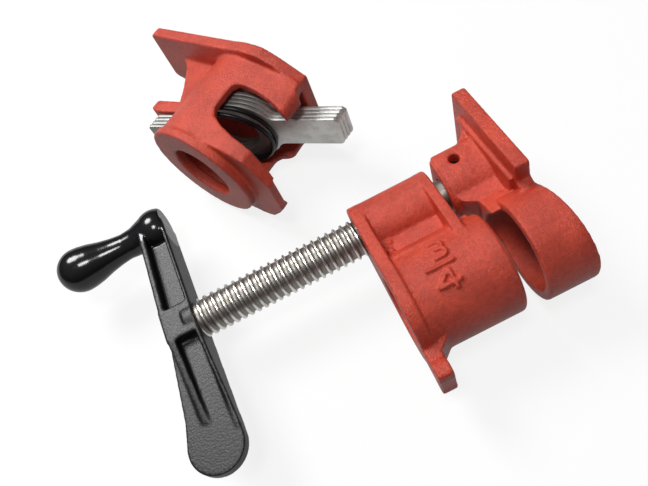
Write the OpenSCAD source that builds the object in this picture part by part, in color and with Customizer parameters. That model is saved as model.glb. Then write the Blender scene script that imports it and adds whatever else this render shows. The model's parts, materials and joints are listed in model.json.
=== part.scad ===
// Woodworking pipe clamp for a threaded pipe: head with screw, crank and moving jaw, and
// the sliding tail stop with its clutch. Millimetres. X runs along the pipe from the crank
// to the jaws, Y from the pipe to the screw, Z up from the table the clamp lies on. The
// origin is the centre of the pipe socket's front face.

/* [Pipe] */
// Outer radius of the pipe that the clamp is made for
pipe_r = 13.33; // [13:0.01:13.6]
// Room around the pipe in the tail stop
pipe_room = 0.87; // [0.6:0.01:1]

/* [Head] */
// Length of the head along the pipe
head_len = 41; // [40:1:46]
// Outer radius of the pipe socket
socket_r = 19.8; // [19:0.1:20.4]
// Distance from the pipe's axis to the screw's axis
screw_y = 35.6; // [35:0.1:37]
// Radius of the cap over the screw boss
cap_r = 12.3; // [12:0.1:13]
// Thickness of the rear flange
flange_t = 5; // [4:0.5:6]
// How far the rear flange stands out of the socket
flange_lip = 1.1; // [0.6:0.1:1.6]
// Thickness of the front rib
rib_t = 4.3; // [3.5:0.1:5]
// Length of socket in front of the rib
socket_nose = 7.2; // [6:0.1:9]
// Distance from the pipe's axis to the underside of the foot
foot_drop = 32; // [30:1:34]
// Half width of the foot pad
foot_half_w = 9.9; // [9:0.1:11]
// How far the size digits stand out
digit_h = 1.1; // [0.5:0.1:1.1]

/* [Screw] */
// Outer radius of the screw thread
screw_r = 7.94; // [7.8:0.01:8.1]
// Pitch of the screw thread
pitch = 3.175; // [3:0.005:3.4]
// Length of screw between the crank hub and the head
screw_bare = 70.4; // [68:0.1:76]
// Radial room of the screw in the nut
nut_room = 0.08; // [0.05:0.01:0.1]
// Radius of the plain end that turns in the jaw
nose_r = 6.4; // [6:0.1:6.6]

/* [Moving jaw] */
// Gap between the socket and the jaw's ring
ring_gap = 8; // [7:0.5:9]
// Length of the jaw's ring
ring_len = 20; // [19:0.1:21]
// How far the ring's slanted front stands out past the jaw plate's face
ring_lead = 5.6; // [4:0.1:6]
// Outer radius of the jaw's ring
ring_r = 20.5; // [20:0.1:21.5]
// Wall of the jaw's ring
ring_wall = 4; // [3:0.1:5]
// Thickness of the jaw plate
jaw_t = 5.8; // [4:0.1:6.5]
// Distance from the pipe's axis to the top of the jaw plates
jaw_top = 65; // [62:0.5:66]
// Half width of the jaw plate at its top
jaw_top_w = 18.4; // [17:0.1:20]
// Half width of the jaw plate at its bottom
jaw_low_w = 25.5; // [25:0.1:27]
// Radius of the boss round the screw
boss_r = 11.5; // [11:0.1:12]
// Radius of the pins
pin_r = 2.2; // [2:0.1:2.4]
// How far the jaw's pin is sunk into its hole
pin_sunk = 5; // [2:0.1:6]

/* [Crank] */
// Thickness of the crank along the screw at its hub
hub_len = 14; // [12:0.5:15]
// Half thickness of the crank at its hub
hub_half = 7.5; // [7:0.1:8]
// Distance from the screw to the knob's axis
knob_arm = 49.3; // [46:0.5:52]
// Length of the knob
knob_len = 52; // [48:1:56]
// Radius of the knob's round end
knob_r = 9.8; // [9.5:0.1:11]
// Distance from the screw to the middle of the thumb paddle
paddle_arm = 49.5; // [47:0.5:52]
// Radius of the thumb paddle
paddle_r = 11; // [10.5:0.1:12]
// Half thickness of the crank's web
web_half = 2.6; // [2:0.1:3]

/* [Tail stop] */
// Length of the tail stop from its collar to its jaw face
tail_len = 51.8; // [50:0.1:56]
// Outer radius of the tail stop's tube
tube_r = 25; // [24.5:0.1:25.6]
// Inner radius of the tail stop's tube
tube_bore = 21.3; // [21:0.1:21.8]
// Thickness of the collar
collar_t = 5; // [4:0.1:6]
// Thickness of the tail stop's jaw plate
tail_plate_t = 5.6; // [5:0.1:6.5]
// Half width of the tail stop's plate at its widest
tail_wide = 29.3; // [28.5:0.1:30]
// Half width of the tail stop's plate at its tip
tail_tip_w = 14.5; // [13:0.1:16]

/* [Clutch] */
// Thickness of one clutch plate
plate_t = 1.8; // [1.7:0.01:1.95]
// Gap between clutch plates
plate_gap = 0.08; // [0.05:0.01:0.1]
// Radius of a clutch plate's disc
disc_r = 19.2; // [18.6:0.1:19.3]
// How much longer than wide the disc is, towards the lever
disc_long = 5.5; // [0:0.5:6]
// Tilt of the clutch plates at rest
clutch_tilt = 24; // [23:0.5:25]
// Length of the clutch lever from the disc's middle to its end
lever_len = 53; // [50:0.5:56]
// Width of the clutch lever
lever_w = 17; // [15:0.5:17.5]
// Radius of the spring wire
wire_r = 1; // [0.8:0.05:1.1]
// Middle radius of the spring's curls
coil_r = 19; // [18.8:0.1:19.2]
// How far the spring's front turn lies nearer the lever than the hole does
coil_shift = 3.4; // [0:0.1:3.4]

/* [Hidden] */
$fn = 64;
red = [0.80, 0.30, 0.22];
black = [0.08, 0.08, 0.09];
zinc = [0.80, 0.80, 0.78];
past = 1;                    // how far a cut runs past a face
sink = 0.5;                  // how far a joined form is sunk into its neighbour

socket_bore = pipe_r + 0.02; // the pipe's thread fills the socket
tail_bore = pipe_r + pipe_room;
shaft_r = 6;                 // the screw's turned end in the crank's hub
flange_r = socket_r + flange_lip;
rib_x = -socket_nose - rib_t;
cap_low = screw_y + 2.4;     // underside of the cap that covers the screw boss
ledge_y = 14.5;              // floor of the side pockets
head_boss_r = cap_r - 0.7;
hub_x = -head_len - screw_bare;            // crank's face on the head's side

ring_front = ring_gap + ring_len;
jaw_x = ring_front - jaw_t - ring_lead;    // back of the jaw plate
boss_x = -3.8;
jaw_low = 17;
pin_x = 4.7;                 // where the pin crosses the screw's groove
groove_r = 3.3;
pin_y = screw_y + groove_r + pin_r + 0.2;
nose_end = 11;
nose_start = -8;
head_near = 3;               // the head comes this much nearer the jaw than it lies here
neck_x = head_near + 1;      // back of the jaw's neck

knob_y = screw_y + knob_arm;
paddle_y = screw_y - paddle_arm;
paddle_x = hub_x - 9.4;
pin_roof = 0.8;              // the handle pin's hole ends this far under the hub's upper face

tail_turn = 32.1;            // the loose tail stop lies turned on the table
tail_place = [-88.44, 99.02, tail_wide - jaw_low_w];
plate_x = tail_len - tail_plate_t;
foot_y = -29;                // lower edge of the jaw plate
post_y = -31.6;              // lower end of the post in front of the upper window
skirt_y = -39.5;             // lower end of the skirt behind the windows
skirt_x = 7.5;               // front of the skirt at its lower end
room_y = -24;                // below this the clutch's room is only in front of the skirt
window_front = 29;           // where the upper post's end begins
notch_x = 42.4;              // notch between the upper post and the plate
wall_z = tube_r - 1.6;       // half width of the side walls below the tube

pivot = [15.3, 37.5];          // where the front clutch plate leans on its lug
lean = 0.1;                  // room between the front plate and the lug
release = 20;                // how far the clutch turns back to let the pipe through
// The holes line up with the pipe when the clutch is released.
disc_mid = -pivot.y / cos(clutch_tilt - release);
plate_step = (plate_t + plate_gap) / cos(clutch_tilt); // along the pipe
spring_turns = 2.75;
rings_a_turn = 8;            // rings of the wire's tube in each turn of the spring

// A prism along X: the outline's first axis is Y and its second axis is Z.
module along_x(x0, len) {
    translate([x0, 0, 0]) rotate([90, 0, 90]) linear_extrude(len) children();
}

module rod_x(x0, len, r, y = 0) {
    translate([x0, y, 0]) rotate([0, 90, 0]) cylinder(h = len, r = r);
}

module cone_x(x0, len, r0, r1, y = 0) {
    translate([x0, y, 0]) rotate([0, 90, 0]) cylinder(h = len, r1 = r0, r2 = r1);
}

// A plate in the XY plane, centred on Z = 0.
module flat_z(half) {
    translate([0, 0, -half]) linear_extrude(2 * half) children();
}

// Two circles joined by straight sides that run just inside their outer tangents.
module keyhole(r_low, r_high, gap) {
    nip = 0.06;
    a = acos((r_low - r_high) / gap);
    side = [cos(a), sin(a)];
    low = (r_low - nip) * side;
    high = [gap, 0] + (r_high - nip) * side;
    circle(r_low);
    translate([gap, 0]) circle(r_high);
    polygon([low, high, [high.x, -high.y], [low.x, -low.y]]);
}

// A symmetric outline from [distance, half width] pairs.
module mirrored(points) {
    n = len(points);
    polygon([
        for (p = points) p,
        for (i = [n - 1:-1:0]) [points[i].x, -points[i].y]
    ]);
}

// A stroke of a raised digit.
module stroke(a, b, w) {
    d = b - a;
    n = [-d.y, d.x] / norm(d) * w / 2;
    polygon([a + n, b + n, b - n, a - n]);
}

module half_ring(r, w) {
    difference() {
        circle(r + w / 2, $fn = 32);
        circle(r - w / 2, $fn = 32);
        translate([-2 * r, -2 * r]) square([2 * r, 4 * r]);
    }
}

module size_digits() {
    w = 1.2;
    bend = 1.75;
    translate([-23, 2.9]) {
        for (i = [0, 1]) {
            translate([3.4, bend + 2 * bend * i]) half_ring(bend, w);
            stroke([0, 4 * bend * i], [3.4, 4 * bend * i], w);
        }
        stroke([1.4, 2 * bend], [3.4, 2 * bend], w);
    }
    stroke([-28, 0], [-16.9, 0], w);
    translate([-26.5, -9.6]) {
        stroke([6, 0], [6, 7.6], w);
        stroke([0, 2.4], [8.6, 2.4], w);
        stroke([0, 2.4], [6, 7.4], w);
    }
}

module head_foot() {
    neck = 7.5;
    pad = 7.6;
    corner = 4;
    along_x(-head_len, flange_t + 1) {
        mirrored([
            [-foot_drop, foot_half_w - 1], [-foot_drop + 1, foot_half_w],
            [-foot_drop + pad - corner, foot_half_w], [-foot_drop + pad - corner, neck],
            [-foot_drop + pad, foot_half_w - corner], [-16, neck]
        ]);
        mirrored([[-foot_drop + pad - corner, neck], [-12, neck]]);
        for (s = [-1, 1]) {
            translate([-foot_drop + pad - corner, s * (foot_half_w - corner)]) circle(corner);
        }
        mirrored([[-19.6, neck], [-17, neck + 3.2], [-12, neck + 3.2]]);
    }
    // Fillet behind the foot, where it grows out of the socket.
    flat_z(neck) polygon([
        [-head_len + flange_t, -foot_drop + 11], [-head_len + flange_t + 1.8, -foot_drop + 10],
        [-head_len + flange_t + 5.5, -socket_r + 1], [-head_len + flange_t, -socket_r + 1]
    ]);
}

module head_casting() {
    merge = 0.4;             // the rib's sides end this far under the socket's skin
    inner_x = -head_len + 1;
    web_w = 6.2;             // half thickness of the web between boss and socket
    inner_len = head_len - socket_nose - 2;
    color(red) difference() {
        union() {
            rod_x(-head_len, head_len - 1, socket_r);
            cone_x(-1, 1, socket_r, socket_r - 1);
            along_x(-head_len, flange_t) keyhole(flange_r, cap_r, screw_y);
            along_x(rib_x, rib_t) keyhole(socket_r - merge, cap_r, screw_y);
            // Cap over the screw boss.
            along_x(inner_x, inner_len) intersection() {
                keyhole(socket_r - merge, cap_r - 0.15, screw_y);
                translate([cap_low, -cap_r]) square([2 * cap_r, 2 * cap_r]);
            }
            rod_x(inner_x, inner_len, head_boss_r, screw_y);
            // Web and ledge between the boss and the socket.
            along_x(inner_x, inner_len) mirrored([
                [10, 15.5], [ledge_y - 1, 15.5], [ledge_y + 1.5, 12.4], [ledge_y + 5, web_w],
                [screw_y, web_w]
            ]);
            // Lump where the rib runs out on the socket's nose.
            along_x(rib_x + 1, socket_nose + rib_t - 3) mirrored([
                [12, 8.2], [socket_r + 0.6, 6.4], [socket_r + 1.2, 4]
            ]);
            head_foot();
            intersection() {
                flat_z(2 * socket_r) size_digits();
                difference() {
                    rod_x(-head_len, head_len, socket_r + digit_h);
                    translate([-head_len - past, -2 * socket_r, -2 * socket_r])
                        cube([head_len + 2 * past, 4 * socket_r, 2 * socket_r]);
                }
            }
        }
        rod_x(-head_len - past, head_len + 2 * past, socket_bore);
        rod_x(-head_len - past, head_len + 2 * past, screw_r + nut_room, screw_y);
    }
}

// The thread's ridges stand at the true pitch as closed rings.
module thread_rings(x0, len) {
    root = screw_r - pitch / 2;
    turns = floor(len / pitch);
    translate([x0, screw_y, 0]) rotate([0, 90, 0]) rotate_extrude() polygon([
        [0, 0], [root, 0],
        for (i = [0:turns - 1], p = [[0.05, root], [0.3, screw_r], [0.68, screw_r], [0.93, root]])
            [p.y, (i + p.x) * pitch],
        [root, len], [0, len]
    ]);
}

module clamp_screw() {
    color(zinc) difference() {
        union() {
            thread_rings(hub_x, nose_start - hub_x);
            rod_x(nose_start - sink, nose_end - nose_start + sink - 0.8, nose_r, screw_y);
            cone_x(nose_end - 0.8, 0.8, nose_r, nose_r - 0.8, screw_y);
            rod_x(hub_x - hub_len + 1.5, hub_len, shaft_r, screw_y);
        }
        // Groove for the jaw's pin.
        difference() {
            rod_x(pin_x - pin_r - 0.2, 2 * pin_r + 0.4, nose_r + past, screw_y);
            rod_x(pin_x - pin_r - past, 2 * pin_r + 2 * past, groove_r, screw_y);
        }
        // Hole for the crank's pin.
        translate([hub_x - hub_len / 2, screw_y, -hub_half]) cylinder(h = 2 * hub_half, r = pin_r);
    }
}

module knob() {
    waist = 5.8;
    neck = 9.6;
    rotate([0, -90, 0]) rotate_extrude() intersection() {
        union() {
            translate([0, knob_len - knob_r]) circle(knob_r);
            translate([0, 4.5]) circle(neck);
            polygon([
                [0, 4], [neck, 4.5], [8.4, 9], [waist + 0.5, 15], [waist, 20],
                [waist + 0.6, 25], [7.4, 30], [8.8, 35], [knob_r - 0.2, knob_len - knob_r - 3],
                [knob_r, knob_len - knob_r], [0, knob_len - knob_r]
            ]);
        }
        square([2 * knob_r, 2 * knob_len]);
    }
}

module crank_handle() {
    back_x = hub_x - hub_len;
    tip_x = hub_x - 12;
    thin = 1.8;
    turn_y = screw_y - screw_r - 0.3;  // the arm stays behind the thread down to here
    color(black) difference() {
        union() {
            // Hub with its face to the screw.
            translate([back_x, screw_y - 7, -hub_half]) cube([hub_len, 14, 2 * hub_half]);
            rod_x(hub_x - 5, 5, hub_half + 0.8, screw_y);
            // Web of both arms and the thumb paddle.
            flat_z(web_half) {
                polygon([[back_x, screw_y], [tip_x, knob_y], [hub_x, knob_y], [hub_x, screw_y]]);
                polygon([
                    [back_x, screw_y], [hub_x, screw_y], [hub_x, turn_y],
                    [paddle_x + paddle_r, paddle_y + 2], [paddle_x, paddle_y], [paddle_x - paddle_r, paddle_y + 1],
                    [paddle_x - paddle_r + 2.5, paddle_y + 12]
                ]);
                translate([paddle_x, paddle_y]) circle(paddle_r);
            }
            // Flanges of the knob's arm.
            flat_z(hub_half) {
                polygon([[back_x, screw_y], [tip_x, knob_y], [tip_x + 2.8, knob_y],
                    [back_x + 2.8, screw_y]]);
                polygon([[hub_x - thin, screw_y], [hub_x - thin, knob_y], [hub_x, knob_y],
                    [hub_x, screw_y]]);
            }
            // Flanges of the paddle's arm, which run out towards the paddle.
            intersection() {
                flat_z(hub_half) {
                    polygon([[back_x, screw_y], [paddle_x - 2.2, paddle_y + 9],
                        [paddle_x + 0.6, paddle_y + 8], [back_x + 3.4, screw_y]]);
                    polygon([[hub_x - thin, screw_y], [hub_x - thin, turn_y],
                        [paddle_x + paddle_r - thin, paddle_y + 2],
                        [paddle_x + paddle_r, paddle_y + 2], [hub_x, turn_y], [hub_x, screw_y]]);
                }
                along_x(back_x - paddle_r, 3 * paddle_r) mirrored([
                    [paddle_y + 2, web_half + 0.3], [paddle_y + 9, web_half + 0.5],
                    [screw_y - 7, hub_half], [screw_y, hub_half]
                ]);
            }
            translate([hub_x - 0.6, knob_y, 0]) knob();
        }
        rod_x(hub_x - hub_len + 1.5, hub_len, shaft_r + 0.02, screw_y);
        translate([hub_x - hub_len / 2, screw_y, -2 * hub_half])
            cylinder(h = 3 * hub_half - pin_roof, r = pin_r);
    }
}

module handle_pin() {
    color(zinc) translate([hub_x - hub_len / 2, screw_y, 0.1 - hub_half])
        cylinder(h = 2 * hub_half - pin_roof - 0.2, r = pin_r - 0.02);
}

module jaw_boss() {
    square_y = 47.5;
    along_x(boss_x + 1.2, jaw_x - boss_x) {
        translate([screw_y, 0]) circle(boss_r);
        mirrored([[screw_y, boss_r], [square_y - 1.5, boss_r], [square_y, boss_r - 1.5]]);
    }
    // Rear end, drawn in a little.
    along_x(boss_x, 2) {
        translate([screw_y, 0]) circle(boss_r - 1);
        mirrored([[screw_y, boss_r - 1], [square_y - 2.5, boss_r - 1], [square_y - 1, boss_r - 2.5]]);
    }
    // Top of the boss, which sweeps up into the plate.
    flat_z(boss_r - 1.5) polygon([
        [jaw_x - 11, square_y - 1], [jaw_x - 8, square_y], [jaw_x - 5, square_y + 2],
        [jaw_x - 2.5, square_y + 5.5], [jaw_x - 1, square_y + 9.5], [jaw_x + sink, square_y + 12],
        [jaw_x + sink, square_y - 1]
    ]);
}

module moving_jaw() {
    color(red) difference() {
        union() {
            rod_x(ring_gap, ring_len, ring_r);
            // Jaw plate and the raised field on its back.
            along_x(jaw_x, jaw_t) mirrored([
                [ring_r - 9, 15.5], [ring_r - 4, 17.8], [jaw_low, jaw_low_w - 2.5],
                [jaw_low + 0.4, jaw_low_w], [jaw_low + 2, jaw_low_w],
                [jaw_top - 1.2, jaw_top_w], [jaw_top, jaw_top_w - 1.2]
            ]);
            along_x(jaw_x - 1.8, 2.2) mirrored([
                [jaw_low + 1, 18.5], [screw_y, 15], [jaw_top - 8, 11], [jaw_top - 5, 8]
            ]);
            jaw_boss();
            // Neck between the ring and the boss, clear of the head's end of travel.
            along_x(neck_x, jaw_x - neck_x + sink) {
                mirrored([[12, 13.5], [ring_r - 2.2, 10.5], [ring_r + 1, 8.6], [screw_y, 8.2]]);
            }
            flat_z(8.4) polygon([
                [boss_x + 2.4, screw_y - 10.6], [boss_x + 4.5, screw_y - 12.4],
                [ring_gap, ring_r - 1], [ring_gap + 8, ring_r - 1], [ring_gap + 8, screw_y - 6],
                [boss_x + 2.4, screw_y - 6]
            ]);
        }
        rod_x(ring_gap - past, ring_len + 2 * past, ring_r - ring_wall);
        // The ring's front is slanted and a little wider inside: it starts at the jaw face.
        rod_x(ring_front - ring_lead, ring_lead + past, ring_r - ring_wall + sink);
        flat_z(2 * ring_r) polygon([
            [ring_front - ring_lead, ring_r], [ring_front - ring_lead, ring_r + past],
            [ring_front + past, ring_r + past], [ring_front + past, -ring_r], [ring_front, -ring_r]
        ]);
        // Way for the pipe under the boss and the neck.
        rod_x(boss_x - past, ring_gap - boss_x + past, ring_r - ring_wall + sink);
        // Blind bore for the screw's plain end.
        rod_x(boss_x - past, nose_end - boss_x + past + 0.3, nose_r + nut_room, screw_y);
        translate([pin_x, pin_y, -2 * boss_r]) cylinder(h = 4 * boss_r, r = pin_r);
    }
}

module jaw_pin() {
    color(zinc) translate([pin_x, pin_y, pin_sunk - boss_r])
        cylinder(h = 2 * (boss_r - pin_sunk), r = pin_r - 0.02);
}

module place_tail() {
    translate(tail_place) rotate([0, 0, tail_turn]) children();
}

// The windows in the tube's sides, open at the bottom, frame the clutch: one in the upper
// side and a smaller one in the lower side, whose post is short.
module tail_window() {
    rear = [[skirt_x, skirt_y - 6], [10.5, -30.5], [12, -20], [14.6, -11], [17, -6.5], [20.5, -4.2]];
    front = [[34, -5.5], [34.6, -9], [34.4, -16], [33, -24], [31, post_y], [29, skirt_y - 6]];
    polygon([for (p = rear) p, [29.5, -4], [32, -4.2], for (p = front) p]);
}

module low_window() {
    short_y = -19;
    polygon([
        [skirt_x, skirt_y - 6], [10.5, -30.5], [12, -20], [14.6, -13.6], [18, -12], [28.5, -12],
        [31.5, -13.8], [33, -17], [35.4, short_y], [plate_x - 3, short_y + 0.4],
        [plate_x, short_y - 2], [plate_x, skirt_y - 6]
    ]);
}

module tail_casting() {
    inner = plate_x - collar_t;
    slot_y = tube_bore - 3;
    color(red) place_tail() difference() {
        union() {
            rod_x(0, collar_t - 1, tube_r + 1);
            rod_x(0, plate_x + sink, tube_r);
            // Side walls below the tube.
            along_x(collar_t - 1, inner + 1 + sink) mirrored([
                [skirt_y, 9], [skirt_y + 4, 15], [foot_y - 1, wall_z - 1.9], [-24, wall_z],
                [0, tube_r]
            ]);
            // Jaw plate.
            along_x(plate_x, tail_plate_t) mirrored([
                [foot_y, 20.4], [-15, 27.3], [-9, tail_wide], [-4, tail_wide], [2, 28.6],
                [10, 26.4], [jaw_top - 1, tail_tip_w], [jaw_top, tail_tip_w - 1]
            ]);
            // Gusset from the plate down to the tube, with draft on its sides.
            intersection() {
                flat_z(tube_r / 2) polygon([
                    [13, tube_r - 2], [20, tube_r + 2.2], [30, tube_r + 8],
                    [plate_x - 4, tube_r + 17], [plate_x + sink, tube_r + 23],
                    [plate_x + sink, 0], [20, 0]
                ]);
                along_x(0, tail_len) mirrored([[0, 12], [tube_r - 4, 10], [jaw_top - 12, 4]]);
            }
            // Lug that the clutch leans on.
            flat_z(6) polygon([
                pivot, [pivot.x, pivot.y + 5], [pivot.x + 5.2, pivot.y + 5],
                [pivot.x + 7, pivot.y], [pivot.x + 12, tube_r - 2], [pivot.x + 6, tube_bore + sink]
            ]);
        }
        rod_x(-past, tail_len + 2 * past, tail_bore);
        // Room for the clutch, open at the bottom.
        rod_x(collar_t, inner, tube_bore);
        along_x(collar_t, inner) mirrored([[room_y, tube_bore - 1.8], [0, tube_bore]]);
        along_x(skirt_x, plate_x - skirt_x) mirrored([
            [2 * skirt_y, 9.4], [skirt_y, 9.4], [skirt_y + 4, 10.6], [post_y, 15],
            [room_y, tube_bore - 1.8], [room_y + 1, tube_bore - 1.8]
        ]);
        linear_extrude(3 * tube_r) tail_window();
        translate([0, 0, -3 * tube_r]) linear_extrude(3 * tube_r) low_window();
        // The upper post ends in a point below the plate's lower edge, with a notch there.
        flat_z(3 * tube_r) polygon([
            [window_front, post_y], [notch_x - 1.4, post_y - 0.4], [notch_x, post_y + 1.6],
            [plate_x, foot_y], [tail_len, foot_y], [tail_len, 2 * skirt_y],
            [window_front, 2 * skirt_y]
        ]);
        // Slot for the clutch plates' tops.
        flat_z(5) polygon([
            [collar_t + 0.6, slot_y], [collar_t + 0.6, 2 * tube_r], [pivot.x, 2 * tube_r],
            pivot, [pivot.x + (pivot.y - slot_y) * tan(clutch_tilt), slot_y]
        ]);
    }
}

// A clutch plate's own frame, counted from the front: its origin is the top of the plate's
// front face, on which it turns, Y runs up the tilted plate and X out of its front.
module place_plate(i) {
    place_tail() translate([pivot.x - (i - 1) * plate_step, pivot.y, 0])
        rotate([0, 0, clutch_tilt]) children();
}

module clutch_plate(i) {
    nub = 4;
    fillet = 5;
    x0 = -lean - plate_t;
    half = lever_w / 2;
    low_mid = disc_mid - disc_long;
    fillet_y = low_mid - sqrt(pow(disc_r + fillet, 2) - pow(half + fillet, 2));
    color(zinc) place_plate(i) difference() {
        union() {
            for (y = [disc_mid, low_mid]) rod_x(x0, plate_t, disc_r, y);
            along_x(x0, plate_t) mirrored([[low_mid, disc_r - 0.06], [disc_mid, disc_r - 0.06]]);
            along_x(x0, plate_t) mirrored([[disc_mid, nub], [0.6, nub], [1.4, nub - 0.8]]);
            along_x(x0, plate_t) difference() {
                mirrored([
                    [disc_mid - lever_len, half - 1.5], [disc_mid - lever_len + 1.5, half],
                    [fillet_y, half], [low_mid - disc_r / 2, disc_r - 2.6],
                    [low_mid, half]
                ]);
                for (s = [-1, 1]) translate([fillet_y, s * (half + fillet)]) circle(fillet);
            }
        }
        rod_x(x0 - past, plate_t + 2 * past, tail_bore, disc_mid);
    }
}

module clutch_plate_1() { clutch_plate(1); }
module clutch_plate_2() { clutch_plate(2); }
module clutch_plate_3() { clutch_plate(3); }
module clutch_plate_4() { clutch_plate(4); }

// Spring centre line: the first turn lies on the collar and the last on the tilted plates.
wire_gap = 0.15;
up = [-sin(clutch_tilt), cos(clutch_tilt)];
out = [cos(clutch_tilt), sin(clutch_tilt)];
front_mid = pivot - [3 * plate_step, 0] + (disc_mid - coil_shift) * up
    - (lean + plate_t + wire_r + wire_gap) * out;
rear_x = collar_t + wire_r + wire_gap;
function climb(a) = lookup(a, [[90, 0], [360, 0.68], [540, 0.9], [720, 1]]);
function coil_point(a) = let (
    s = climb(a), u = coil_r * cos(a), rear = [rear_x, u], front = front_mid + u * up,
    p = (1 - s) * rear + s * front
) [p.x, p.y, coil_r * sin(a)];

// A tube of six sides round the points of a path.
module tube(path, r) {
    n = len(path);
    sides = 6;
    rings = [for (i = [0:n - 1]) let (
        d = path[min(i + 1, n - 1)] - path[max(i - 1, 0)], t = d / norm(d),
        side = cross(t, [1, 0, 0]), b = side / norm(side), c = cross(b, t)
    ) [for (k = [0:sides - 1]) path[i] + r * (cos(60 * k) * b + sin(60 * k) * c)]];
    polyhedron(
        points = [for (ring = rings) each ring],
        faces = concat(
            [[for (k = [0:sides - 1]) k]],
            [for (i = [0:n - 2], k = [0:sides - 1]) let (
                a = i * sides + k, b = i * sides + (k + 1) % sides
            ) each [[a, a + sides, b], [b, a + sides, b + sides]]],
            [[for (k = [sides - 1:-1:0]) (n - 1) * sides + k]]
        )
    );
}

spring_path = [for (i = [0:rings_a_turn * spring_turns]) coil_point(360 / rings_a_turn * i)];
// Least gap between turns, measured on points a turn apart and finer than the rings.
turn_gap = min([for (a = [0:5:360 * (spring_turns - 1)])
    norm(coil_point(a + 360) - coil_point(a)) - 2 * wire_r]);
echo(least_gap_of_the_spring_to_itself = turn_gap);  // clutch_spring

module clutch_spring() {
    color(black) place_tail() tube(spring_path, wire_r);
}

head_casting();
clamp_screw();
crank_handle();
handle_pin();
moving_jaw();
jaw_pin();
tail_casting();
clutch_plate_1();
clutch_plate_2();
clutch_plate_3();
clutch_plate_4();
clutch_spring();
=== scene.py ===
# %% [markdown]
# # A woodworking pipe clamp
# Three painted castings, a zinc plated screw, a black crank and a small plate clutch lie on
# a white table. The frame gives every piece at its real size; this lesson gives them skins.

# %% Load the frame and note its box
import json
import math

import bmesh
import bpy
from mathutils import Matrix, Vector

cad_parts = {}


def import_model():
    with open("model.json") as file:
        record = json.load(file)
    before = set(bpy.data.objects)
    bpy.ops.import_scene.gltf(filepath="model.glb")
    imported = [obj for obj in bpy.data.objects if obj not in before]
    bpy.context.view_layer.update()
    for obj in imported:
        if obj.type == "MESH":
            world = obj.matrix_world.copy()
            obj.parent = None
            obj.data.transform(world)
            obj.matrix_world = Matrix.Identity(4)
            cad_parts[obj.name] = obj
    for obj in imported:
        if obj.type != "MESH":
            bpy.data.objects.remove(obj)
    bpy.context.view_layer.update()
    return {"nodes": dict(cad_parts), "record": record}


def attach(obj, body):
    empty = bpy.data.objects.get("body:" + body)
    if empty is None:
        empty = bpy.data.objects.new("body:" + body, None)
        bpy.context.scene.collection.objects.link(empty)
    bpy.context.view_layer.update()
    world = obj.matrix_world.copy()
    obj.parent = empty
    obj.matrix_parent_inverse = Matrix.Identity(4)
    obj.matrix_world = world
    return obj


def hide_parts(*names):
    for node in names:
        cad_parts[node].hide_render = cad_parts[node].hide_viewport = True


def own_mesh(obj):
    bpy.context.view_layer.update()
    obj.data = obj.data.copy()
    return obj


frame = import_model()
MM = 0.001

# %% [markdown]
# The camera stands where the photographer stood: about 23 cm above the table, looking down
# at 59 degrees, with the picture turned. The three unit vectors are worked out from those
# angles, because a turned picture is easier to state that way than as Euler angles.

# %% The camera
VIEW_AZIMUTH = math.radians(-1.32)
VIEW_ELEVATION = math.radians(59.22)
VIEW_ROLL = math.radians(-28.28)
CAMERA_PLACE = Vector((-51.41, -93.62, 225.9)) * MM
FOCAL_PIXELS = 659.19
PICTURE_WIDTH = 648
SENSOR = 36.0


def photo_camera():
    """A camera that looks along the fitted direction, rolled about it."""
    flat = math.cos(VIEW_ELEVATION)
    ahead = Vector((flat * math.sin(VIEW_AZIMUTH), flat * math.cos(VIEW_AZIMUTH),
                    -math.sin(VIEW_ELEVATION)))
    level = Vector((math.cos(VIEW_AZIMUTH), -math.sin(VIEW_AZIMUTH), 0))
    raised = level.cross(ahead)
    right = level * math.cos(VIEW_ROLL) + raised * math.sin(VIEW_ROLL)
    up = raised * math.cos(VIEW_ROLL) - level * math.sin(VIEW_ROLL)
    data = bpy.data.cameras.new("photo_camera")
    data.sensor_width = SENSOR
    data.lens = FOCAL_PIXELS / PICTURE_WIDTH * SENSOR
    data.clip_start = 0.01
    camera = bpy.data.objects.new("photo_camera", data)
    bpy.context.collection.objects.link(camera)
    turn = Matrix((right, up, -ahead)).transposed().to_4x4()
    camera.matrix_world = Matrix.Translation(CAMERA_PLACE) @ turn
    return camera


bpy.context.scene.camera = photo_camera()

# %% [markdown]
# Shader maths is easier to read as arithmetic. A small class wraps a node's output, so that
# an expression such as `1 - mask * 0.3` adds its own Math nodes, and one method adds any
# other node: its type, its settings, then its sockets.


# %% Helpers for materials
class Value:
    """A number that a node tree works out at each point."""

    def __init__(self, finish, socket):
        self.finish = finish
        self.socket = socket

    def math(self, operation, first, second=0.0):
        return self.finish.add("ShaderNodeMath", {"operation": operation}, {0: first, 1: second})

    def __add__(self, other):
        return self.math("ADD", self, other)

    def __mul__(self, other):
        return self.math("MULTIPLY", self, other)

    def __sub__(self, other):
        return self.math("SUBTRACT", self, other)

    def __rsub__(self, other):
        return self.math("SUBTRACT", other, self)

    __radd__ = __add__
    __rmul__ = __mul__

    def clamped(self):
        return self.math("MINIMUM", self.math("MAXIMUM", self, 0.0), 1.0)

    def step(self, low, high):
        """0 below low, 1 above high, and a soft ramp between."""
        settings = {"interpolation_type": "SMOOTHSTEP"}
        return self.finish.add("ShaderNodeMapRange", settings, {0: self, 1: low, 2: high})


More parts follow.
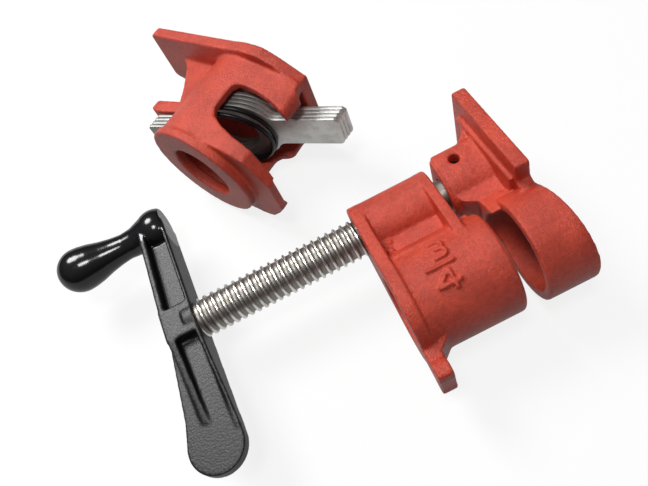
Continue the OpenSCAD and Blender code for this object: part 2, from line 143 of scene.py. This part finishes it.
class Finish:
    """A material with one Principled surface, on the piece's own coordinates in metres."""

    def __init__(self, name):
        self.material = bpy.data.materials.new(name)
        self.material.use_nodes = True
        self.tree = self.material.node_tree
        self.surface = self.tree.nodes["Principled BSDF"]
        self.place = self.add("ShaderNodeTexCoord", out="Object")

    def add(self, kind, settings=None, inputs=None, out=0):
        node = self.tree.nodes.new(kind)
        for key, value in (settings or {}).items():
            setattr(node, key, value)
        for key, value in (inputs or {}).items():
            self.feed(node.inputs[key], value)
        return Value(self, node.outputs[out])

    def feed(self, socket, value):
        if isinstance(value, Value):
            self.tree.links.new(value.socket, socket)
        else:
            socket.default_value = value

    def set(self, **inputs):
        for key, value in inputs.items():
            self.feed(self.surface.inputs[key.replace("_", " ")], value)

    def noise(self, size, detail=2.0, roughness=0.5):
        """Noise whose lumps are about size metres across."""
        scale = 1 / size
        return self.add("ShaderNodeTexNoise", None, {
            "Vector": self.place, "Scale": scale, "Detail": detail, "Roughness": roughness})

    def blend(self, factor, low, high):
        """A colour between low and high."""
        return self.add("ShaderNodeMix", {"data_type": "RGBA"}, {0: factor, 6: low, 7: high}, 2)

    def bump(self, height, depth, strength=1.0, under=None):
        inputs = {"Height": height, "Distance": depth, "Strength": strength}
        if under is not None:
            inputs["Normal"] = under
        return self.add("ShaderNodeBump", None, inputs)

    def axes(self):
        split = self.add("ShaderNodeSeparateXYZ", None, {0: self.place})
        return [Value(self, split.socket.node.outputs[i]) for i in range(3)]


# %% [markdown]
# The castings carry a sprayed orange-red paint over a sand-cast skin: fine pimples about
# half a millimetre across, broader orange peel, a semi-matt sheen that varies a little, and
# a slightly lighter tone where the coat is thin. Bump carries the grain, because it is far
# finer than a mesh could hold.


# %% The castings' paint
FULL_COAT = (0.45, 0.038, 0.017, 1)
THIN_COAT = (0.66, 0.070, 0.033, 1)


def cast_paint():
    f = Finish("cast_orange_red_paint")
    grain = f.noise(0.62 * MM, 3.0, 0.7)
    peel = f.noise(1.5 * MM, 2.0)
    cloud = f.noise(12 * MM, 3.0)
    tone = (cloud * 0.45 + peel * 0.3 + grain * 0.25).step(0.36, 0.64)
    colour = f.blend(tone, FULL_COAT, THIN_COAT)
    low = f.bump(peel, 0.22 * MM, 0.6)
    f.set(Base_Color=colour, Roughness=0.3 + grain * 0.2,
          Normal=f.bump(grain, 0.42 * MM, 1.0, low))
    f.surface.inputs["Specular IOR Level"].default_value = 0.55
    return f.material


# %% [markdown]
# The screw and the clutch plates are zinc plated. Zinc is pale and a touch warm. On the
# turned screw it is bright and smooth on the crests and rougher in the roots, where painted
# shade darkens it, so the distance from the screw's axis lightens it. The stamped plates
# were tumbled first, so their plating is satin, with cloudy patches and fine scratches.
# Their discs are darkened, partly by grease and partly by painted shade inside the casting;
# the levers are wiped clean, so the distance along the lever lightens them.


# %% Zinc on the screw and on the plates
SCREW_AXIS_Y = 35.6 * MM
CREST_R = 7.94 * MM
ROOT_R = 6.9 * MM


def away_from(f, axis_y):
    """Distance from a line along X at height axis_y."""
    _, y, z = f.axes()
    across = y - axis_y
    return f.add("ShaderNodeMath", {"operation": "SQRT"}, {0: across * across + z * z})


def screw_zinc():
    f = Finish("bright_zinc_thread")
    cloud = f.noise(4 * MM, 4.0, 0.6)
    scratch = f.noise(0.4 * MM, 2.0)
    crest_over_painted_root_shade = away_from(f, SCREW_AXIS_Y).step(ROOT_R, CREST_R - 0.1 * MM)
    bare_zinc = f.blend(cloud.step(0.4, 0.65), (0.92, 0.92, 0.9, 1), (0.72, 0.71, 0.68, 1))
    # Painted shade: the colour darkens from the crests down into the thread roots.
    colour = f.blend(crest_over_painted_root_shade, (0.3, 0.28, 0.25, 1), bare_zinc)
    f.set(Base_Color=colour, Metallic=1.0, Roughness=0.4 - crest_over_painted_root_shade * 0.16 + scratch * 0.1,
          Normal=f.bump(scratch, 0.06 * MM, 0.5))
    return f.material


TAIL_TURN = math.radians(32.1)
CLUTCH_TILT = math.radians(24)
LEVER_TURN = TAIL_TURN + CLUTCH_TILT
LEVER_WAY = Vector((math.sin(LEVER_TURN), -math.cos(LEVER_TURN)))
DISC_END = Vector((-50.5, 108.5)) * MM
GREASE_AND_SHADE_EDGE = 9 * MM


def plate_zinc():
    f = Finish("satin_zinc_plate")
    cloud = f.noise(5 * MM, 4.0, 0.6)
    scratch = f.noise(0.6 * MM, 3.0, 0.6)
    bare_zinc = f.blend(cloud.step(0.4, 0.65), (0.78, 0.78, 0.75, 1), (0.64, 0.64, 0.61, 1))
    x, y, _ = f.axes()
    along_lever = (x - DISC_END.x) * LEVER_WAY.x + (y - DISC_END.y) * LEVER_WAY.y
    # The discs' dark colour is partly grease and partly painted shade inside the casting; the
    # lever ends stay bright.
    grease_and_painted_shade = (1 - (along_lever + cloud * GREASE_AND_SHADE_EDGE).step(0.0, GREASE_AND_SHADE_EDGE)) * 0.65
    colour = f.blend(grease_and_painted_shade, bare_zinc, (0.07, 0.066, 0.062, 1))
    f.set(Base_Color=colour, Metallic=0.8, Roughness=0.38 + scratch * 0.2,
          Normal=f.bump(scratch, 0.07 * MM, 0.5))
    return f.material


# %% [markdown]
# The crank is one casting in black enamel. Its knob was tumbled smooth, so it mirrors the
# lights, while the flat arms and the paddle keep a coarse cast grain under the coat. The
# distance from the knob's axis tells the shader which is which. The spring's wire and the
# jaw's pin are plain steel, blackened and oiled.


# %% The crank's enamel
KNOB_AXIS_Y = 84.9 * MM
KNOB_REACH = (9.9 * MM, 10.9 * MM)


def black_enamel():
    f = Finish("black_enamel")
    arm = away_from(f, KNOB_AXIS_Y).step(*KNOB_REACH)
    grain = f.noise(0.9 * MM, 3.0, 0.6)
    cloud = f.noise(9 * MM, 2.0)
    colour = f.blend(cloud, (0.004, 0.004, 0.005, 1), (0.010, 0.010, 0.011, 1))
    f.set(Base_Color=colour, Roughness=0.16 + arm * (0.18 + grain * 0.16),
          Normal=f.bump(grain * arm, 0.16 * MM, 1.0))
    return f.material


def spring_black():
    f = Finish("oiled_black_wire")
    drawn = f.noise(0.8 * MM, 2.0)
    f.set(Base_Color=f.blend(drawn, (0.012, 0.012, 0.013, 1), (0.03, 0.03, 0.033, 1)),
          Metallic=0.7, Roughness=0.24 + drawn * 0.14)
    return f.material


PAINT = cast_paint()
THREAD_ZINC = screw_zinc()
PLATE_ZINC = plate_zinc()
ENAMEL = black_enamel()
WIRE = spring_black()
print("five finishes are ready")

# %% [markdown]
# A casting has no sharp edge: sand rounds the outer ones and fills the inner ones. The
# CAD solids are crisp, so each casting gets a skin: a copy of its mesh is rebuilt from
# small voxels and then relaxed, which rounds every edge and fillets every corner at once,
# where a bevel would need each edge picked by hand.


# %% Helpers that make a skin from a CAD node
BODY_OF = {node: body for body, nodes in frame["record"]["behaviour"]["bodies"].items()
           for node in nodes}


def new_piece(name, bm):
    """Turns a bmesh into a smooth-shaded object at the origin."""
    mesh = bpy.data.meshes.new(name)
    bm.to_mesh(mesh)
    bm.free()
    for face in mesh.polygons:
        face.use_smooth = True
    piece = bpy.data.objects.new(name, mesh)
    bpy.context.collection.objects.link(piece)
    return piece


def dress(piece, node, material):
    """The piece stands for the CAD node and moves with its body."""
    piece.data.materials.clear()
    piece.data.materials.append(material)
    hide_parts(node)
    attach(piece, BODY_OF[node])
    print(piece.name, len(piece.data.polygons), "faces")
    return piece


def closed_copy(node):
    """A bmesh of the CAD node with its loose triangles joined."""
    bm = bmesh.new()
    bm.from_mesh(frame["nodes"][node].data)
    bmesh.ops.remove_doubles(bm, verts=bm.verts, dist=2e-6)
    return bm


def apply_modifiers(piece):
    """Freezes the piece's modifiers into its mesh."""
    seen = piece.evaluated_get(bpy.context.evaluated_depsgraph_get())
    mesh = bpy.data.meshes.new_from_object(seen)
    piece.modifiers.clear()
    piece.data = mesh
    return piece


def relax(piece, rounds, keep=None, keep_rounds=2):
    """Smooths the mesh. Points that keep names are smoothed only keep_rounds times."""
    bm = bmesh.new()
    bm.from_mesh(piece.data)
    loose = [v for v in bm.verts if not (keep and keep(v.co))]
    for turn in range(rounds):
        verts = bm.verts if turn < keep_rounds else loose
        bmesh.ops.smooth_vert(bm, verts=verts, factor=0.5, use_axis_x=True, use_axis_y=True,
                              use_axis_z=True)
    bm.to_mesh(piece.data)
    bm.free()
    for face in piece.data.polygons:
        face.use_smooth = True


def cast_skin(node, voxel, rounds, material, keep=None, extra=None):
    """A softened copy of a casting; extra adds small lumps before the rebuild."""
    bm = closed_copy(node)
    if extra:
        extra(bm)
    piece = new_piece(node + "_skin", bm)
    remesh = piece.modifiers.new("sand", "REMESH")
    remesh.mode = "VOXEL"
    remesh.voxel_size = voxel
    apply_modifiers(piece)
    relax(piece, rounds, keep)
    return dress(piece, node, material)


def pressed_skin(node, edge, material):
    """A copy of a stamped or turned piece with its edges broken."""
    bm = closed_copy(node)
    bmesh.ops.dissolve_limit(bm, angle_limit=math.radians(1), verts=bm.verts, edges=bm.edges)
    sharp = [e for e in bm.edges if len(e.link_faces) == 2
             and e.calc_face_angle(0) > math.radians(40)]
    bmesh.ops.bevel(bm, geom=sharp, offset=edge, offset_type="OFFSET", segments=2, profile=0.5,
                    affect="EDGES", clamp_overlap=True, material=-1)
    piece = new_piece(node + "_skin", bm)
    piece.data.set_sharp_from_angle(angle=math.radians(35))
    return dress(piece, node, material)


# %% [markdown]
# The head keeps its raised size digits crisper than the rest, so the points round them are
# relaxed less. A few cast lumps lie in the side pocket, where the sand broke away.

# %% The head's casting
DIGITS_LOW = Vector((-29.5, -11, 17)) * MM
DIGITS_HIGH = Vector((-15, 12.5, 30)) * MM
POCKET_LUMPS = [(-34.6, 21.5, 5.9, 1.7), (-33.4, 19.6, 8.1, 1.7), (-32.4, 24.2, 6.2, 1.4)]


def near_digits(point):
    return all(low < c < high for low, c, high in zip(DIGITS_LOW, point, DIGITS_HIGH))


def pocket_lumps(bm):
    for x, y, z, r in POCKET_LUMPS:
        for side in (1, -1):
            bmesh.ops.create_icosphere(bm, subdivisions=2, radius=r * MM,
                                       matrix=Matrix.Translation(Vector((x, y, side * z)) * MM))


FINE, COARSE = 0.42 * MM, 0.5 * MM
cast_skin("head_casting", FINE, 9, PAINT, near_digits, pocket_lumps)

# %% The moving jaw and the tail stop
cast_skin("moving_jaw", FINE, 9, PAINT)
cast_skin("tail_casting", COARSE, 9, PAINT)

# %% [markdown]
# The crank is cast too, but its enamel lies smoother and its arms have crisper edges.

# %% The crank
cast_skin("crank_handle", FINE, 7, ENAMEL)

# %% [markdown]
# The screw is a trapezoidal thread: flats at crest and root, with steep flanks. A profile
# one pitch long is spun about the screw's axis while it moves along it, so that each turn's
# end meets the next turn's start and the doubles merge into one unbroken thread.

# %% The screw
PITCH = 3.175 * MM
THREAD_X = (-111.4 * MM, -8 * MM)
STEPS_PER_TURN = 40
NOSE_PROFILE = [(-9.5, 0), (-9.5, 6.2), (-8.0, 6.4), (2.4, 6.4), (2.6, 6.2), (2.7, 3.3),
                (6.7, 3.3), (6.8, 6.2), (7.0, 6.4), (10.0, 6.4), (10.8, 5.7), (11.0, 5.2),
                (11.0, 0)]
HUB_PROFILE = [(-123.9, 0), (-123.9, 5.5), (-123.4, 6), (-110.5, 6), (-110.5, 0)]


def lathe(bm, profile):
    """Spins (x, radius) points in millimetres into a closed round body on the screw's axis."""
    verts = [bm.verts.new((x * MM, SCREW_AXIS_Y + r * MM, 0)) for x, r in profile]
    edges = [bm.edges.new(pair) for pair in zip(verts, verts[1:])]
    bmesh.ops.spin(bm, geom=verts + edges, cent=(0, SCREW_AXIS_Y, 0), axis=(1, 0, 0),
                   dvec=(0, 0, 0), angle=math.tau, steps=64, use_merge=True,
                   use_duplicate=False)


def thread(bm):
    """One pitch of the profile, spun along a right-hand helix and cut square at both ends."""
    start, end = THREAD_X
    turns = math.ceil((end - start) / PITCH) + 3
    shape = [(0.0, ROOT_R), (0.2, ROOT_R), (0.27, ROOT_R + 0.12 * MM),
             (0.37, CREST_R - 0.14 * MM), (0.43, CREST_R), (0.58, CREST_R),
             (0.64, CREST_R - 0.14 * MM), (0.74, ROOT_R + 0.12 * MM), (0.81, ROOT_R),
             (1.0, ROOT_R)]
    verts = [bm.verts.new((start + (x - 2) * PITCH, SCREW_AXIS_Y + r, 0)) for x, r in shape]
    edges = [bm.edges.new(pair) for pair in zip(verts, verts[1:])]
    steps = turns * STEPS_PER_TURN
    bmesh.ops.spin(bm, geom=verts + edges, cent=(0, SCREW_AXIS_Y, 0), axis=(1, 0, 0),
                   dvec=(PITCH / STEPS_PER_TURN, 0, 0), angle=math.tau * turns, steps=steps,
                   use_duplicate=False)
    bmesh.ops.remove_doubles(bm, verts=bm.verts, dist=5e-6)
    for x, side in ((start, -1), (end, 1)):
        cut = bmesh.ops.bisect_plane(bm, geom=bm.verts[:] + bm.edges[:] + bm.faces[:],
                                     plane_co=(x, 0, 0), plane_no=(side, 0, 0),
                                     clear_outer=True)
        rim = [e for e in cut["geom_cut"] if isinstance(e, bmesh.types.BMEdge)]
        bmesh.ops.contextual_create(bm, geom=rim)


def clamp_screw():
    bm = bmesh.new()
    thread(bm)
    lathe(bm, NOSE_PROFILE)
    lathe(bm, HUB_PROFILE)
    bmesh.ops.remove_doubles(bm, verts=bm.verts, dist=2e-6)
    bmesh.ops.recalc_face_normals(bm, faces=bm.faces)
    piece = new_piece("clamp_screw_thread", bm)
    piece.data.set_sharp_from_angle(angle=math.radians(32))
    return dress(piece, "clamp_screw", THREAD_ZINC)


clamp_screw()

# %% [markdown]
# The pins and the clutch plates are simple stampings and turnings: their CAD shapes are
# right, and only need their edges broken so that they catch the light. The crank was
# dipped with its pin in place, so that pin wears the enamel as well.

# %% Pins and clutch plates
pressed_skin("handle_pin", 0.25 * MM, ENAMEL)
pressed_skin("jaw_pin", 0.25 * MM, WIRE)
for count in (1, 2, 3, 4):
    pressed_skin(f"clutch_plate_{count}", 0.3 * MM, PLATE_ZINC)

# %% [markdown]
# The clutch spring is one black wire. Its rear turn lies flat on the collar and its front
# turn lies on the tilted plates; in between it climbs. The same rule as in the solid gives
# its centre line, with more points, and a bevelled curve makes the round wire.

# %% The clutch spring
TAIL_PLACE = Vector((-88.44, 99.02, 3.8)) * MM
PIVOT = Vector((15.3, 37.5)) * MM
RELEASE = math.radians(20)
DISC_MID = -PIVOT.y / math.cos(CLUTCH_TILT - RELEASE)
PLATE_T = 1.8 * MM
PLATE_STEP = 1.88 * MM / math.cos(CLUTCH_TILT)
LEAN = 0.1 * MM
WIRE_R = 1.0 * MM
WIRE_GAP = 0.15 * MM
COIL_R = 19 * MM
COIL_SHIFT = 3.4 * MM
COLLAR_FACE = 5 * MM
SPRING_TURNS = 2.75
CLIMB = ((90, 0.0), (360, 0.68), (540, 0.9), (720, 1.0))
POINTS_PER_TURN = 48


def tail_point(x, y, z=0.0):
    """A point of the tail stop's own frame, in the shared frame."""
    flat = Matrix.Rotation(TAIL_TURN, 4, "Z") @ Vector((x, y, z))
    return TAIL_PLACE + flat


def climbed(angle):
    """Share of the way from the collar to the plates."""
    for (start, low), (end, high) in zip(CLIMB, CLIMB[1:]):
        if angle <= end:
            return low + (high - low) * max(0, angle - start) / (end - start)
    return 1.0


def wire_point(angle):
    """Centre line of the spring at an angle in degrees."""
    up = Vector((-math.sin(CLUTCH_TILT), math.cos(CLUTCH_TILT)))
    out = Vector((math.cos(CLUTCH_TILT), math.sin(CLUTCH_TILT)))
    last_top = PIVOT - Vector((3 * PLATE_STEP, 0))
    stand_off = LEAN + PLATE_T + WIRE_R + WIRE_GAP
    front_mid = last_top + (DISC_MID - COIL_SHIFT) * up - stand_off * out
    rise = COIL_R * math.cos(math.radians(angle))
    rear = Vector((COLLAR_FACE + WIRE_R + WIRE_GAP, rise))
    place = rear.lerp(front_mid + rise * up, climbed(angle))
    return tail_point(place.x, place.y, COIL_R * math.sin(math.radians(angle)))


def clutch_spring():
    count = int(SPRING_TURNS * POINTS_PER_TURN)
    curve = bpy.data.curves.new("clutch_spring_wire", "CURVE")
    curve.dimensions = "3D"
    curve.bevel_depth = WIRE_R * 0.98
    curve.bevel_resolution = 4
    curve.use_fill_caps = True
    line = curve.splines.new("POLY")
    line.points.add(count)
    for index, point in enumerate(line.points):
        point.co = (*wire_point(360 * SPRING_TURNS * index / count), 1)
    piece = bpy.data.objects.new("clutch_spring_wire", curve)
    bpy.context.collection.objects.link(piece)
    mesh = bpy.data.meshes.new_from_object(piece.evaluated_get(
        bpy.context.evaluated_depsgraph_get()))
    bpy.data.objects.remove(piece)
    bm = bmesh.new()
    bm.from_mesh(mesh)
    bmesh.ops.remove_doubles(bm, verts=bm.verts, dist=1e-6)
    bmesh.ops.recalc_face_normals(bm, faces=bm.faces)
    return dress(new_piece("clutch_spring_wire", bm), "clutch_spring", WIRE)


spring = clutch_spring()
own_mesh(spring)

# %% [markdown]
# The photograph shows a plain white ground and soft light from above. The floor keeps the
# clamp's shadow; where the camera sees it, it is mostly plain white, and as a light it is
# dark, so that the sides fall off. The world is white to the camera only: to the clamp it is
# a dim dome, a little brighter overhead. The key light stands where the crank's flat top
# mirrors it, which lifts the black enamel as in the photograph.

# %% Floor, light and world
FLOOR_Z = -25.5 * MM
FLOOR_GAP = 0.05 * MM
MIDDLE = (-0.06, 0.04, 0.0)
CEILING = {"From Min": 0.1, "From Max": 0.95, "To Min": 0.05, "To Max": 0.22}


def floor():
    bm = bmesh.new()
    bmesh.ops.create_grid(bm, x_segments=1, y_segments=1, size=3.0,
                          matrix=Matrix.Translation((0, 0, FLOOR_Z - FLOOR_GAP)))
    piece = new_piece("floor", bm)
    f = Finish("white_floor")
    seen = f.add("ShaderNodeLightPath", out="Is Camera Ray")
    mirrored = f.add("ShaderNodeLightPath", out="Is Glossy Ray")
    f.set(Base_Color=f.blend(seen, (0.14, 0.14, 0.14, 1), (0.9, 0.9, 0.9, 1)), Roughness=0.9)
    glow = f.add("ShaderNodeEmission", None, {"Color": (1, 1, 1, 1), "Strength": 1.0})
    share = (seen * 0.84 + mirrored * 0.55).clamped()
    mixed = f.add("ShaderNodeMixShader", None, {
        0: share, 1: Value(f, f.surface.outputs[0]), 2: glow})
    f.feed(f.tree.nodes["Material Output"].inputs["Surface"], mixed)
    piece.data.materials.append(f.material)


def soft_light(name, place, aim, size, watts):
    data = bpy.data.lights.new(name, "AREA")
    data.shape = "DISK"
    data.size = size
    data.energy = watts
    lamp = bpy.data.objects.new(name, data)
    bpy.context.collection.objects.link(lamp)
    lamp.location = Vector(place)
    lamp.rotation_euler = (Vector(aim) - Vector(place)).to_track_quat("-Z", "Y").to_euler()


def world():
    """White to the camera; to the clamp a dim dome that is brighter overhead."""
    sky = bpy.data.worlds.new("white_studio")
    bpy.context.scene.world = sky
    sky.use_nodes = True
    nodes, links = sky.node_tree.nodes, sky.node_tree.links

    def link(kind, source, target, **settings):
        node = nodes.new(kind)
        for key, value in settings.items():
            setattr(node, key, value)
        links.new(source, node.inputs[target])
        return node

    way = nodes.new("ShaderNodeTexCoord")
    parts = link("ShaderNodeSeparateXYZ", way.outputs["Generated"], 0)
    ceiling = link("ShaderNodeMapRange", parts.outputs["Z"], 0,
                   interpolation_type="SMOOTHSTEP")
    for socket, value in CEILING.items():
        ceiling.inputs[socket].default_value = value
    path = nodes.new("ShaderNodeLightPath")
    seen = link("ShaderNodeMath", path.outputs["Is Camera Ray"], 0, operation="MAXIMUM")
    links.new(path.outputs["Is Transmission Ray"], seen.inputs[1])
    strength = link("ShaderNodeMix", seen.outputs[0], 0)
    links.new(ceiling.outputs[0], strength.inputs[2])
    strength.inputs[3].default_value = 1.0
    links.new(strength.outputs[0], nodes["Background"].inputs["Strength"])
    nodes["Background"].inputs["Color"].default_value = (1, 1, 1, 1)


floor()
world()
soft_light("key_light", place=(-0.35, 0.6, 0.8), aim=MIDDLE, size=0.42, watts=8.6)
soft_light("fill_light", place=(-0.1, -0.1, 0.8), aim=MIDDLE, size=0.2, watts=2.4)
bpy.context.scene.view_settings.view_transform = "Standard"
